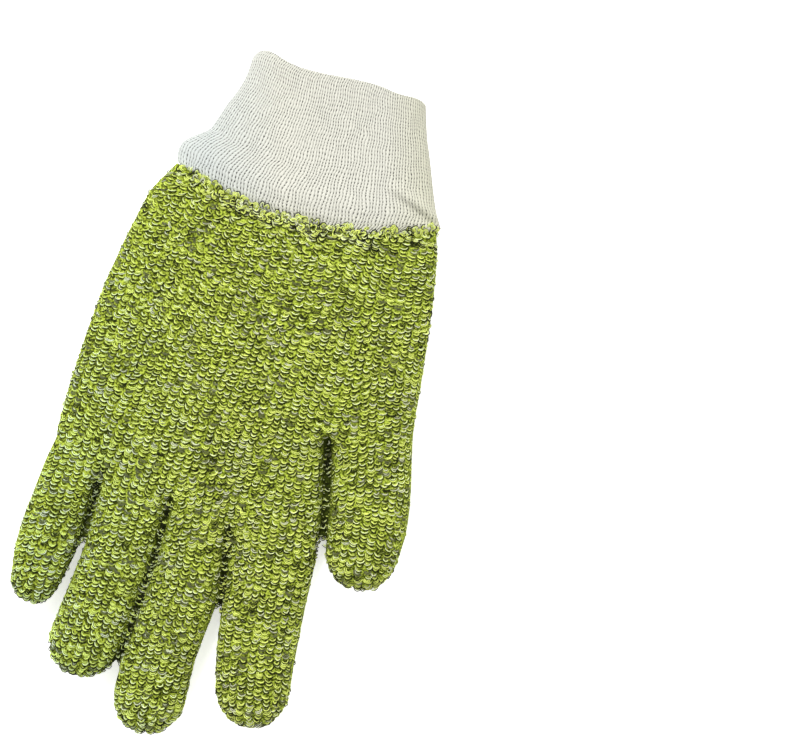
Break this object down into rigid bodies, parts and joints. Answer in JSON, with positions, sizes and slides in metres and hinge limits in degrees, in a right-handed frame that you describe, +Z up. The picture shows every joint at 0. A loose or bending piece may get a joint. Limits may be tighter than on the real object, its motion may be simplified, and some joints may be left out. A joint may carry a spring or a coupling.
{
  "type": "cut-resistant terry glove",
  "caption": "Work glove of looped terry knit with closed fingers and thumb and an open, plain-knit wrist, lying flat.",
  "frame": {"origin": "the middle of the foot of the glove's bounding box, on the surface it lies on", "axes": "+Y toward the wrist, with the fingers pointing toward -Y, +Z up from the surface, and +X toward the thumb's side"},
  "size_m": [0.161, 0.255, 0.0225],
  "materials": {
    "terry": "lime and grey looped terry",
    "knit": "plain cream knit"
  },
  "bodies": {
    "root": {"palm": "terry", "little_finger": "terry", "ring_finger": "terry", "middle_finger": "terry", "index_finger": "terry", "thumb": "terry", "knit_cuff": "knit"}
  },
  "joints": []
}
